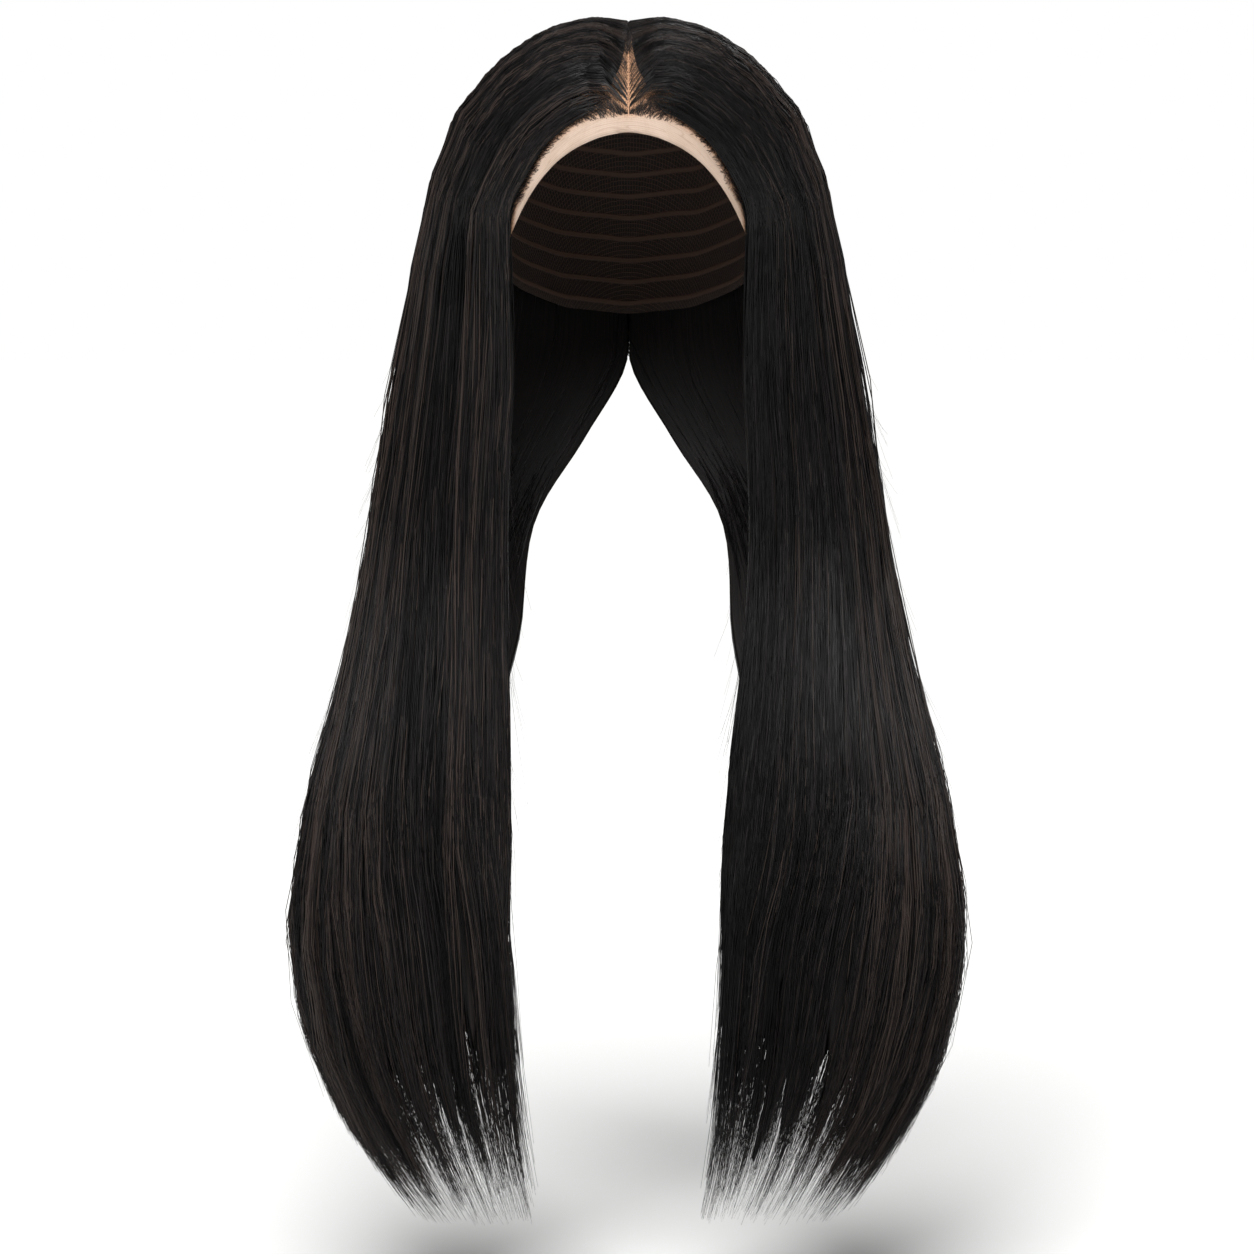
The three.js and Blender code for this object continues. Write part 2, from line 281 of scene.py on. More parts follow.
# Fine wig lace: a flesh-coloured monofilament mesh, matt, a little creased along its free edge. Where the hair is
# tied in, each knot is a brown speck, so the lace looks darker there.
def lace_material():
    made, tree = material("flesh_lace")
    place = node(tree, "ShaderNodeUVMap", {"uv_map": "Cloth"}).outputs["UV"]
    edge = node(tree, "ShaderNodeUVMap", {"uv_map": "Edge"}).outputs["UV"]
    tied = node(tree, "ShaderNodeAttribute", {"attribute_name": "tied"}).outputs["Fac"]
    spread = node(
        tree, "ShaderNodeTexNoise", {"noise_dimensions": "2D"}, {"Vector": place}, Scale=0.06, Detail=3.0
    ).outputs["Fac"]
    # Each colour of the lace varies a little from place to place. The crease colour is painted shade in the
    # creases.
    ground, thread, crease_shade, tan, brown = (
        node(tree, "ShaderNodeValToRGB", links={"Fac": spread}, stops=((0.3, low), (0.7, high))).outputs["Color"]
        for low, high in (
            ("#af9886", "#bba493"), ("#bfaa98", "#cbb7a7"), ("#97806f", "#a08878"), ("#b68a68", "#c09270"),
            ("#5f4030", "#6e4c3a"),
        )
    )
    # Cells of real lace are 0.5 mm wide; here they are 1 mm so that they show.
    cells = node(
        tree, "ShaderNodeTexVoronoi", {"voronoi_dimensions": "2D", "feature": "DISTANCE_TO_EDGE"},
        {"Vector": place}, Scale=1.0, Randomness=0.25,
    ).outputs["Distance"]
    threads = node(
        tree, "ShaderNodeMapRange", links={"Value": cells},
        **{"From Min": 0.02, "From Max": 0.16, "To Min": 1.0, "To Max": 0.0},
    ).outputs[0]
    plain = node(
        tree, "ShaderNodeMix", {"data_type": "RGBA"}, {0: threads, 6: ground, 7: thread}
    ).outputs[2]
    # Creases lie along the free edge, 3 to 6 mm apart: thin lines of painted shade in the folds, a little darker.
    along = node(tree, "ShaderNodeMapping", links={"Vector": edge}, Scale=(1 / 45, 1 / 4.5, 1))
    creases = node(
        tree, "ShaderNodeTexNoise", {"noise_dimensions": "2D"}, {"Vector": along.outputs[0]},
        Scale=1.0, Detail=2.0, Distortion=0.4,
    ).outputs["Fac"]
    middle = node(tree, "ShaderNodeMath", {"operation": "SUBTRACT"}, {0: creases}).outputs[0]
    line = node(tree, "ShaderNodeMath", {"operation": "ABSOLUTE"}, {0: middle}).outputs[0]
    crease_shade_mask = node(
        tree, "ShaderNodeMapRange", links={"Value": line},
        **{"From Min": 0.0, "From Max": 0.04, "To Min": 0.5, "To Max": 0.0},
    ).outputs[0]
    plain = node(tree, "ShaderNodeMix", {"data_type": "RGBA"}, {0: crease_shade_mask, 6: plain, 7: crease_shade}).outputs[2]
    # Under the roots the lace is tan: partly the roots and knots seen through it, partly painted shade from the
    # hair lying over it.
    plain = node(tree, "ShaderNodeMix", {"data_type": "RGBA"}, {0: tied, 6: plain, 7: tan}).outputs[2]
    # Knots about 1.2 mm apart.
    specks = node(
        tree, "ShaderNodeTexVoronoi", {"voronoi_dimensions": "2D", "feature": "F1"}, {"Vector": place},
        Scale=0.8, Randomness=0.8,
    ).outputs["Distance"]
    knots = node(
        tree, "ShaderNodeMapRange", links={"Value": specks},
        **{"From Min": 0.2, "From Max": 0.5, "To Min": 0.8, "To Max": 0.0},
    ).outputs[0]
    knotted = node(tree, "ShaderNodeMath", {"operation": "MULTIPLY"}, {0: knots, 1: tied}).outputs[0]
    colour = node(
        tree, "ShaderNodeMix", {"data_type": "RGBA"}, {0: knotted, 6: plain, 7: brown}
    ).outputs[2]
    folds = node(tree, "ShaderNodeBump", links={"Height": creases}, Strength=0.5, Distance=0.0012)
    bump = node(
        tree, "ShaderNodeBump", links={"Height": threads, "Normal": folds.outputs[0]},
        Strength=0.3, Distance=0.0003,
    )
    shader = node(
        tree, "ShaderNodeBsdfPrincipled", links={"Base Color": colour, "Normal": bump.outputs[0]},
        **{"Roughness": 0.8},
    )
    node(tree, "ShaderNodeOutputMaterial", links={"Surface": shader.outputs[0]})
    return made


# Elastic wig net: dark brown knotted mesh with the stitched rows of the wefts across it, matt.
def net_material():
    made, tree = material("elastic_net")
    place = node(tree, "ShaderNodeUVMap", {"uv_map": "Cloth"}).outputs["UV"]
    edge = node(tree, "ShaderNodeUVMap", {"uv_map": "Edge"}).outputs["UV"]
    # Cells of the real net are 1.5 mm wide; here they are 2.5 mm.
    cells = node(
        tree, "ShaderNodeTexVoronoi", {"voronoi_dimensions": "2D", "feature": "DISTANCE_TO_EDGE"},
        {"Vector": place}, Scale=0.4, Randomness=0.2,
    ).outputs["Distance"]
    threads = node(
        tree, "ShaderNodeMapRange", links={"Value": cells},
        **{"From Min": 0.03, "From Max": 0.14, "To Min": 1.0, "To Max": 0.0},
    ).outputs[0]
    # Wefts are sewn on in rows 12 mm apart. A wave of scale 1 repeats every 2 pi / 20.
    rows = node(
        tree, "ShaderNodeTexWave", {"wave_type": "BANDS", "bands_direction": "Y", "wave_profile": "SIN"},
        {"Vector": edge}, Scale=2 * math.pi / 12 / 20, Distortion=0.6, Detail=1.0,
    ).outputs["Fac"]
    sewn = node(
        tree, "ShaderNodeMapRange", links={"Value": rows},
        **{"From Min": 0.8, "From Max": 0.95, "To Min": 0.0, "To Max": 1.0},
    ).outputs[0]
    both = node(tree, "ShaderNodeMath", {"operation": "MAXIMUM"}, {0: threads, 1: sewn}).outputs[0]
    colour = node(
        tree, "ShaderNodeValToRGB", links={"Fac": both}, stops=((0.0, "#1d1512"), (1.0, "#4c382d"))
    ).outputs["Color"]
    bump = node(tree, "ShaderNodeBump", links={"Height": both}, Strength=0.7, Distance=0.0008)
    shader = node(
        tree, "ShaderNodeBsdfPrincipled", links={"Base Color": colour, "Normal": bump.outputs[0]},
        **{"Roughness": 0.85},
    )
    node(tree, "ShaderNodeOutputMaterial", links={"Surface": shader.outputs[0]})
    return made


# Matt white paint on the studio's floor: no gloss, so only a soft shade shows on it.
def floor_material():
    made, tree = material("matt_white_floor")
    shader = node(
        tree, "ShaderNodeBsdfPrincipled",
        **{"Base Color": linear("#f9f9f8"), "Roughness": 0.9, "Specular IOR Level": 0.0},
    )
    node(tree, "ShaderNodeOutputMaterial", links={"Surface": shader.outputs[0]})
    return made


STRANDS, DEPTH, LACE, NET = strand_material(), mass_material(), lace_material(), net_material()

# --- Meshes -------------------------------------------------------------------------------------------------


def add_object(name, data):
    """An object in the scene from a mesh, a lamp or a lens."""
    made = bpy.data.objects.new(name, data)
    bpy.context.scene.collection.objects.link(made)
    return made


def closed_grid(name, outer, inner, maps, finish):
    """A closed body between two grids of points in millimetres, joined all round their rims."""
    rows, columns = outer.shape[:2]
    under = rows * columns
    points = np.concatenate([outer.reshape(-1, 3), inner.reshape(-1, 3)]) * MM
    at = np.arange(under).reshape(rows, columns)
    quads = np.stack([at[:-1, :-1], at[:-1, 1:], at[1:, 1:], at[1:, :-1]], -1).reshape(-1, 4)
    rim = np.concatenate([at[0, :-1], at[:-1, -1], at[-1, :0:-1], at[:0:-1, 0]])
    after = np.roll(rim, -1)
    walls = np.stack([after, rim, rim + under, after + under], -1)
    mesh = bpy.data.meshes.new(name)
    mesh.from_pydata(points.tolist(), [], np.concatenate([quads, quads[:, ::-1] + under, walls]).tolist())
    corners = np.zeros(len(mesh.loops), int)
    mesh.loops.foreach_get("vertex_index", corners)
    for map_name, flow in maps.items():
        values = np.tile(flow.reshape(-1, 2), (2, 1))[corners]
        mesh.uv_layers.new(name=map_name).data.foreach_set("uv", values.astype(np.float32).ravel())
    shape = bmesh.new()
    shape.from_mesh(mesh)
    bmesh.ops.remove_doubles(shape, verts=shape.verts, dist=1e-5)
    bmesh.ops.recalc_face_normals(shape, faces=shape.faces)
    shape.to_mesh(mesh)
    shape.free()
    if signed_volume(mesh) < 0:
        mesh.flip_normals()
    mesh.shade_smooth()
    mesh.materials.append(finish)
    return add_object(name, mesh)


def signed_volume(mesh):
    """Volume of a closed mesh, below 0 where its faces point inwards."""
    mesh.calc_loop_triangles()
    points = np.zeros(len(mesh.vertices) * 3)
    mesh.vertices.foreach_get("co", points)
    corners = np.zeros(len(mesh.loop_triangles) * 3, int)
    mesh.loop_triangles.foreach_get("vertices", corners)
    a, b, c = np.moveaxis(points.reshape(-1, 3)[corners.reshape(-1, 3)], 1, 0)
    return np.einsum("ij,ij->i", a, np.cross(b, c)).sum() / 6


GROOVE_SHARE = 0.35  # share of a lock's width that a groove takes up on either side


def groove_depth(ways, locks, share):
    """Depth of the hair's outside at a way round: 0 on the crest of a lock, deep between two locks."""
    edges = locks[:, 0]
    i = np.clip(np.searchsorted(edges, ways, "right") - 1, 0, len(edges) - 2)
    across = (ways - edges[i]) / (edges[i + 1] - edges[i])
    low = locks[i, 1] * (1 - smooth(0, GROOVE_SHARE, across))
    high = locks[i + 1, 1] * smooth(1 - GROOVE_SHARE, 1, across)
    return share * (low + high)


# way round, half the width in millimetres of the strip beside the parting where only roots cover the lace
PART_STRIP = np.array([
    (0.0, 10.5), (0.08, 9.8), (0.12, 7.6), (0.15, 5.2), (0.18, 3.5), (0.213, 2.4), (0.243, 1.5), (0.28, 0.9),
    (1.0, 0.9),
])
CLOSED_WAY = (0.22, 0.29)  # way round over which the hair closes over the parting


def strip_edge(way):
    """Row number where the closed hair starts beside the parting."""
    near, far = (
        wide * np.cos(turn_at(way, start, BACK_TURN)) for wide, _, _, _, start, _ in CROWN_ROWS[:2]
    )
    return np.clip((np.interp(way, *PART_STRIP.T) - near) / np.maximum(far - near, 1e-3), 0.02, 0.95)


def part_distance(way):
    """Distance in millimetres from the hairline along the parting at a way round."""
    _, front, back, _, start, _ = CROWN_ROWS[0]
    across = np.sin(turn_at(way, start, BACK_TURN))
    return front + np.where(across < 0, front, back) * across


def part_way(distance):
    """Way round at a distance from the hairline along the parting."""
    ways = np.linspace(0, 1, 401)
    return np.interp(distance, part_distance(ways), ways)


MASS_WAYS = {"front": (0.0, 0.398), "back": (0.402, 1.0)}  # the masses stop short of each other
WAYS_PER_LOCK, MASS_ROWS = 9, 73
POINT_DROP, POINT_LIFT = 540, 50  # drop where the points of a mass start, and how much sooner at the inner edges
POINT_STRETCH, POINT_FROM = 1.45, 580  # length of a point against how far its lock hangs below this drop
FLOW_SIZE = (300, 40)  # millimetres round one side, and from row to row


def hair_mass(section, side):
    """The closed depth of one section's hair: its locks end in points, and the strands lie over it."""
    locks = LOCKS[section]
    edges = locks[:, 0]
    ways = np.concatenate([
        np.linspace(a, b, WAYS_PER_LOCK, endpoint=False) for a, b in zip(edges[:-1], edges[1:])
    ] + [edges[-1:]])
    ways = np.clip(ways, *MASS_WAYS[section])
    lock = np.clip(np.searchsorted(edges, ways, "right") - 1, 0, len(edges) - 2)
    across = (ways - edges[lock]) / (edges[lock + 1] - edges[lock])
    rng = np.random.default_rng(SEED + 11)
    ragged = rng.uniform(-8, 8, len(ways))
    inner_edge = np.maximum(1 - smooth(0.05, 0.2, ways), smooth(0.8, 0.95, ways))
    tooth = (1 - np.abs(2 * across - 1)) ** 1.4
    longer = POINT_STRETCH * (locks[lock, 2] - POINT_FROM) * tooth
    end_drop = POINT_DROP - POINT_LIFT * inner_edge + longer + ragged
    steps = np.linspace(0, 1, MASS_ROWS)[:, None]
    start = strip_edge(ways)
    places = start + (fall_place(end_drop) - start) * steps
    since = places - start
    outer_depth = 0.06 + groove_depth(ways, locks, 0.5)[None, :] * smooth(0.5, 3, places)
    # Along the outline only strands show, with light between them.
    outer_depth = outer_depth + 0.15 * np.exp(-(((ways - 0.33) / 0.1) ** 2)) * smooth(8, 10.5, places)
    outer_depth = 0.97 + (outer_depth - 0.97) * smooth(-0.1, 1.4 - 0.9 * smooth(*CLOSED_WAY, ways), since)
    closing = smooth(0.62, 1.0, steps) * 0.92
    outer_depth = outer_depth + (0.5 - outer_depth) * closing
    inner_depth = 0.99 + (0.55 - 0.99) * closing
    back_off = 0.075 * (1 - smooth(0.0, 0.1, ways)) * (1 - smooth(2, 7, places))
    outer = hair_points(places, ways + back_off, outer_depth, side)
    inner = hair_points(places, ways + back_off, inner_depth, side)
    flow = np.stack(np.broadcast_arrays(ways[None, :] * FLOW_SIZE[0], places * FLOW_SIZE[1]), -1)
    made = closed_grid(f"hair_depth_{section}_{side}", outer, inner, {"HairFlow": flow}, DEPTH)
    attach(made, "root")
    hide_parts(f"hair_{section}_{side}")


# --- Strands ------------------------------------------------------------------------------------------------

KNOTS = np.array([0, 0.12, 0.35, 0.8, 1.5, 2.4, 3.4, 4.6, 6, 7.6, 9.2, 10.6, 11.9, 13, 14, 15, 16]) / 16
POINTS = len(KNOTS)  # points along a full strand, close together at the root
STRAND_SIDES = 3
# Half the width of each kind of strand in millimetres. A real hair is 0.07 mm thick, too fine to show, so all of
# them are drawn thicker.
STRAND_HALF = {"long": 0.28, "lining": 0.3, "flyaway": 0.1, "baby": 0.13, "end": 0.085}
ALL_LOCKS = np.concatenate([LOCKS["front"][:-1], LOCKS["back"]])
WISPS = 5  # finer wisps that a lock parts into
WISP_DRAWS = 100  # random values for the wisps of all locks, with some to spare
TIP_SHORTER = 44  # millimetres that the shortest wisp ends above its lock's tip
TIP_SPREAD, INNER_SPREAD = 26, 58  # millimetres over which the ends of a wisp spread, and what inner edges add
ROOT_VOLUME = 0.25  # how far the hair stands up beside the parting, as a share of its thickness there
PART_TOOTH = 2.3  # millimetres between two bunches of roots along the parting
PHASES = (0, 6.3)  # where a wave may start, about a full turn


def strand_tree():
    """Geometry Nodes: lines of points become thin closed strands, as wide as their own attribute says."""
    tree = bpy.data.node_groups.new("strands_from_lines", "GeometryNodeTree")
    face = tree.interface
    face.new_socket("Lines", in_out="INPUT", socket_type="NodeSocketGeometry")
    face.new_socket("Sides", in_out="INPUT", socket_type="NodeSocketInt")
    face.new_socket("Finish", in_out="INPUT", socket_type="NodeSocketMaterial")
    face.new_socket("Strands", in_out="OUTPUT", socket_type="NodeSocketGeometry")
    given = node(tree, "NodeGroupInput").outputs
    lines = node(tree, "GeometryNodeMeshToCurve", links={"Mesh": given["Lines"]})
    ring = node(
        tree, "GeometryNodeCurvePrimitiveCircle", {"mode": "RADIUS"}, {"Resolution": given["Sides"]}, Radius=1.0
    )
    width = node(tree, "GeometryNodeInputNamedAttribute", {"data_type": "FLOAT"}, Name="radius_m")
    tubes = node(
        tree, "GeometryNodeCurveToMesh",
        links={
            "Curve": lines.outputs[0],
            "Profile Curve": ring.outputs["Curve"],
            "Scale": width.outputs["Attribute"],
        },
        **{"Fill Caps": True},
    )
    soft = node(tree, "GeometryNodeSetShadeSmooth", links={"Geometry": tubes.outputs[0]})
    real = node(tree, "GeometryNodeRealizeInstances", links={"Geometry": soft.outputs[0]})
    done = node(
        tree, "GeometryNodeSetMaterial", links={"Geometry": real.outputs[0], "Material": given["Finish"]}
    )
    node(tree, "NodeGroupOutput", links={"Strands": done.outputs[0]})
    return tree


STRAND_TREE = strand_tree()


def strand_piece(name, lines, radius, tone):
    """One piece from lines of points in millimetres: an array of strands, points and coordinates."""
    count, points = lines.shape[:2]
    along = KNOTS if points == POINTS else np.linspace(0, 1, points)
    mesh = bpy.data.meshes.new(name + "_lines")
    at = np.arange(count * points).reshape(count, points)
    edges = np.stack([at[:, :-1], at[:, 1:]], -1).reshape(-1, 2)
    mesh.from_pydata((lines.reshape(-1, 3) * MM).tolist(), edges.tolist(), [])
    values = {
        "radius_m": radius * MM,
        "tone": np.broadcast_to(tone, (count, points)),
        "along": np.broadcast_to(along, (count, points)),
        "lane": np.broadcast_to(np.arange(count)[:, None] / count, (count, points)),
    }
    for key, value in values.items():
        mesh.attributes.new(key, "FLOAT", "POINT").data.foreach_set("value", value.astype(np.float32).ravel())
    made = add_object(name, mesh)
    modifier = made.modifiers.new("strands", "NODES")
    modifier.node_group = STRAND_TREE
    sockets = {
        item.name: item.identifier for item in STRAND_TREE.interface.items_tree if item.in_out == "INPUT"
    }
    modifier[sockets["Sides"]] = STRAND_SIDES
    modifier[sockets["Finish"]] = STRANDS
    evaluated = made.evaluated_get(bpy.context.evaluated_depsgraph_get())
    strands = bpy.data.meshes.new_from_object(evaluated)
    made.modifiers.clear()
    made.data = strands
    strands.name = name
    bpy.data.meshes.remove(mesh)
    lay_out_strands(strands, count)
    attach(made, "root")


def lay_out_strands(mesh, count):
    """A map with a column of its own for each strand."""
    corners = np.zeros(len(mesh.loops), int)
    mesh.loops.foreach_get("vertex_index", corners)
    read = {}
    for key in ("lane", "along"):
        read[key] = np.zeros(len(mesh.vertices), np.float32)
        mesh.attributes[key].data.foreach_get("value", read[key])
    side = (np.arange(len(mesh.vertices)) % STRAND_SIDES) * 0.3 + 0.2
    across = read["lane"] + side / count
    maps = np.stack([across[corners], 0.01 + 0.98 * read["along"][corners]], -1)
    mesh.uv_layers.new(name="OFBake").data.foreach_set("uv", maps.astype(np.float32).ravel())


def wisp_of(way):
    """Number of the lock at a way round, where it starts and ends, and the number of the wisp in it."""
    i = np.clip(np.searchsorted(ALL_LOCKS[:, 0], way, "right") - 1, 0, len(ALL_LOCKS) - 2)
    low, high = ALL_LOCKS[i, 0], ALL_LOCKS[i + 1, 0]
    return i, low, high, np.floor(np.clip((way - low) / (high - low), 0, 0.999) * WISPS).astype(int)


def strand_radius(rng, count, kind):
    """Half the width of strands in millimetres: fine at the root, full along the length, drawn out at the tip."""
    shape = (0.3 + 0.7 * smooth(0, 0.1, KNOTS)) * (1 - 0.75 * smooth(0.8, 1.0, KNOTS))
    return STRAND_HALF[kind] * (0.75 + 0.5 * rng.random((count, 1))) * shape[None, :]


def fine_radius(rng, count, kind, taper, t):
    """Half the width of short fine hairs in millimetres, drawn out towards the tip."""
    return STRAND_HALF[kind] * (1 - taper * t) * (0.7 + 0.6 * rng.random((count, 1)))


def strand_lines(rng, way, depth, side, tip_drop, root_place, comb=0.0):
    """Lines of strands. Each roots on the cap, rises to its layer and gathers in a wisp. comb says how far in
    front of its way a strand roots, so that it leaves the parting backwards."""
    count = len(way)
    mirror = SIDES[side][0]
    way, depth, tip_drop, root_place = (a[:, None] for a in (way, depth, tip_drop, root_place))
    place = root_place + (fall_place(tip_drop) - root_place) * KNOTS[None, :]
    since = place - root_place

    i, low, high, wisp = wisp_of(way)
    per_wisp = np.random.default_rng(SEED + 7)
    shift, phase, loose, sway = (
        per_wisp.uniform(*ends, WISP_DRAWS)[i * WISPS + wisp]
        for ends in ((-0.3, 0.3), PHASES, (0.4, 1.0), (-5, 5))
    )
    centre = low + (high - low) * (wisp + 0.5 + shift) / WISPS
    gather = loose * (0.3 * smooth(6, 10, place) + 0.55 * smooth(12.5, 15.5, place))
    path = way + (centre - way) * gather * (0.6 + 0.6 * rng.random((count, 1)))
    path = path + ((low + high) / 2 - path) * 0.2 * smooth(14, 16, place)
    own_phase = rng.uniform(*PHASES, (count, 1))
    wave = 0.004 * np.sin(phase + 0.75 * place) + 0.003 * np.sin(own_phase + 1.1 * place)
    slants = np.where(rng.random((count, 1)) < 0.15, rng.uniform(-0.03, 0.03, (count, 1)), 0)
    path = path + wave * smooth(2, 7, place) + slants * smooth(6, 14, place)

    # No strand leaves the inner edges, and under the nape strands keep off the free edge, where they would cut the
    # bend short.
    path = np.abs(1 - np.abs(1 - path))
    path = np.minimum(path, 1 - 0.035 * smooth(6.6, 7.6, place) * (1 - smooth(9.8, 10.8, place)))
    root_way = way - np.reshape(comb, (-1, 1))
    path = root_way + (path - root_way) * (1 - (1 - np.clip(since / 0.9, 0, 1)) ** 2)

    # Where the hair closes over the parting, the roots there stand on other hair and cross the middle.
    closed = smooth(*CLOSED_WAY, way) * (root_place < 0.1)
    rise = smooth(0.0, np.maximum(0.12, 1.1 * strip_edge(way)), since)
    base = 1 - 0.85 * closed * rng.random((count, 1))
    layer = base + (depth - base) * rise
    layer = layer + 0.02 * np.sin(rng.uniform(*PHASES, (count, 1)) + 1.3 * place) * rise
    layer = layer - ROOT_VOLUME * rise * (1 - smooth(0.25, 1.0, place))
    # Some strands stand off a little on their way, which feathers the outline.
    stands_off = np.where(rng.random((count, 1)) < 0.3, rng.uniform(0.02, 0.2, (count, 1)), 0)
    layer = layer - stands_off * np.exp(-(((place - rng.uniform(7, 15, (count, 1))) / 1.2) ** 2))
    sink = 1.35 * (1 - smooth(0, 0.3, since)) * (1 - closed)
    lines = hair_points(place, path, layer, side, sink)

    top = closed * (1 - smooth(0, 0.3, place))
    nape = smooth(0.93, 1, way) * smooth(4.5, 6, place) * (1 - smooth(7.2, 8.2, place))
    foot = (root_place < 0.05) * (1 - closed) * (1 - smooth(0, 0.25, place))
    lines[..., 0] = lines[..., 0] * (1 - 0.85 * top - 0.6 * foot) - mirror * (1.8 * top + 2.5 * nape)
    splay = rng.normal(0, 1, (count, 1, 3)) * (1.8, 2.0, 0.0) + sway[..., None] * (1.2, 0.4, 0.0)
    return lines + splay * smooth(0.72, 1.0, KNOTS)[None, :, None]


def lock_tips(rng, way):
    """Drop where strands end. Each wisp has its own length, and few strands reach its tip. At the inner edges the
    ends thin out over a long way."""
    i, _, _, wisp = wisp_of(way)
    per_wisp = np.random.default_rng(SEED + 5)
    shorter = TIP_SHORTER * per_wisp.random(WISP_DRAWS)[i * WISPS + wisp] ** 2
    inner = np.maximum(1 - smooth(0.08, 0.2, way), smooth(0.75, 0.95, way))
    lowest = np.minimum(ALL_LOCKS[i, 2] + 6, FALL_ROWS[-1, 0])
    return lowest - shorter - (TIP_SPREAD + INNER_SPREAD * inner) * rng.random(len(way)) ** 0.8


def strand_tones(rng, way, side):
    """Tone of strands, alike within a wisp, with painted shade that darkens them between two locks and at the left
    front edge.
    """
    shared = np.random.default_rng(SEED + 3)
    alike = sum(
        shared.normal(0, 0.19, parts + 1)[(np.clip(way, 0, 1) * parts).astype(int)] for parts in (110, 330)
    )
    # Painted shade: strands in the grooves between two locks, and along the left side's front edge, are drawn
    # darker.
    shade = 2.5 * groove_depth(way, ALL_LOCKS, 0.3)
    if side == "left":
        shade = shade + 0.45 * (1 - smooth(0.06, 0.1, way))
    return np.clip(0.47 + alike + rng.normal(0, 0.33, len(way)) - shade, 0, 1)[:, None]


def root_places(rng, way, depth):
    """Row number of each strand's root, and how far in front of its way it roots. Some strands root in bunches on
    the parting, some in the strip beside it, those of the hairline along the hairline, the rest under cover."""
    count = len(way)
    draw = rng.random(count)
    closed = smooth(*CLOSED_WAY, way)
    distance = part_distance(way)
    by_foot = 0.07 * smooth(0.02, 0.06, way) * (1 - smooth(0.11, 0.15, way))
    at_part = (draw < 0.09 + by_foot + 0.4 * closed) & (distance > 2.5)
    in_strip = ~at_part & (draw < 0.12 + 1.6 * by_foot + 0.45 * closed) & (distance > 5)
    at_hairline = ~at_part & ~in_strip & (way < 0.095)
    kinds = [at_part, in_strip, at_hairline]
    edge = strip_edge(way)
    root = np.select(
        kinds,
        [0.02 * rng.random(count), edge * np.sqrt(rng.random(count)), 0.6 + 4.35 * rng.random(count) ** 1.3],
        edge + np.abs(rng.normal(0, 0.2, count)) + 4 * depth * smooth(0.1, 0.2, way),
    )
    before = distance - np.minimum(rng.uniform(6, 11, count), 0.5 * distance)
    bunch = PART_TOOTH * np.round(before / PART_TOOTH) + rng.normal(0, 0.25, count)
    # In the middle the full hair starts a little behind the front hairs.
    first = -0.01 + 0.034 * (1 - smooth(1.6, 4.2, root))
    hairline = first + np.maximum(way - first, 0.04) * rng.random(count) ** 0.7
    root_way = np.select(
        kinds,
        [part_way(np.maximum(bunch, 0.4)), part_way(before + 0.25 * (distance - before)), hairline],
        way,
    )
    return root, way - root_way


def hair_strands(side, rng):
    """The long strands of the front and of the back, which lie on the masses."""
    for section, low, high, count in (("front", 0.0, 0.4, 1950), ("back", 0.4, 1.0, 1650)):
        way = low + (high - low) * (np.arange(count) + rng.random(count)) / count
        depth = np.minimum(np.abs(rng.normal(0, 0.08, count)), 0.35)
        depth = depth + groove_depth(way, ALL_LOCKS, 0.3)
        root, comb = root_places(rng, way, depth)
        lines = strand_lines(rng, way, depth, side, lock_tips(rng, way), root, comb)
        strand_piece(
            f"hair_strands_{section}_{side}", lines, strand_radius(rng, count, "long"),
            strand_tones(rng, way, side),
        )


def lining_strands(side, rng, count=400):
    """Strands of the underside, which shows in the front opening and below the cap, drawn darker as painted shade.
    """
    way = rng.random(count)
    depth = 0.85 + 0.13 * rng.random(count)
    root = 4 + 1.2 * rng.random(count)
    lines = strand_lines(rng, way, depth, side, lock_tips(rng, way) - 10, root)
    # Painted shade: the underside's strands take 0.6 of the tone, so they are darker.
    strand_piece(
        f"hair_lining_{side}", lines, strand_radius(rng, count, "lining"), strand_tones(rng, way, side) * 0.6
    )


def flyaways(side, rng, count=360, points=8):
    """Fine hairs that leave the outline or the inner edge somewhere on the way down and end in the air."""
    t = np.linspace(0, 1, points)[None, :]
    outside = rng.random((count, 1)) < 0.75
    way = np.where(outside, rng.uniform(0.2, 0.5, (count, 1)), rng.uniform(0.0, 0.02, (count, 1)))
    start = 6 + 8.6 * rng.random((count, 1)) ** 0.75
    reach = rng.uniform(0.6, 2.0, (count, 1)) * np.where(outside, 1, 1.6)
    place = start + np.minimum(reach, 15.4 - start) * t
    off = rng.uniform(0.04, 0.4, (count, 1)) * t**1.8
    wave = 0.006 * np.sin(rng.uniform(*PHASES, (count, 1)) + 2.2 * place) * t
    ahead = np.where(outside, 0, 0.09 * off)
    lines = hair_points(place, way + wave - ahead, 0.04 - off, side)
    radius = fine_radius(rng, count, "flyaway", 0.6, t)
    strand_piece(f"hair_flyaways_{side}", lines, radius, strand_tones(rng, way[:, 0], side))


def baby_hairs(side, rng, count=700, points=6):
    """Short fine hairs knotted into the lace along the hairline, curled back into the hair."""
    place = rng.uniform(0.0, 4.6, count)
    ahead = rng.random((count, 1)) ** 1.3
    t = np.linspace(0, 1, points)[None, :]
    way = 0.022 - 0.038 * ahead + (0.018 + 0.02 * rng.random((count, 1))) * t
    places = place[:, None] + rng.uniform(-0.2, 0.4, (count, 1)) * t
    curl = rng.uniform(-0.08, 0.08, (count, 1)) * np.sin(np.pi * t)
    depth = 1 - 0.5 * t * rng.random((count, 1))
    sink = 1.3 * (1 - 0.9 * t)
    lines = hair_points(np.maximum(0.0, places + curl), way, depth, side, sink)
    radius = fine_radius(rng, count, "baby", 0.6, t)
    strand_piece(f"baby_hairs_{side}", lines, radius, np.clip(rng.normal(0.8, 0.15, (count, 1)), 0, 1))


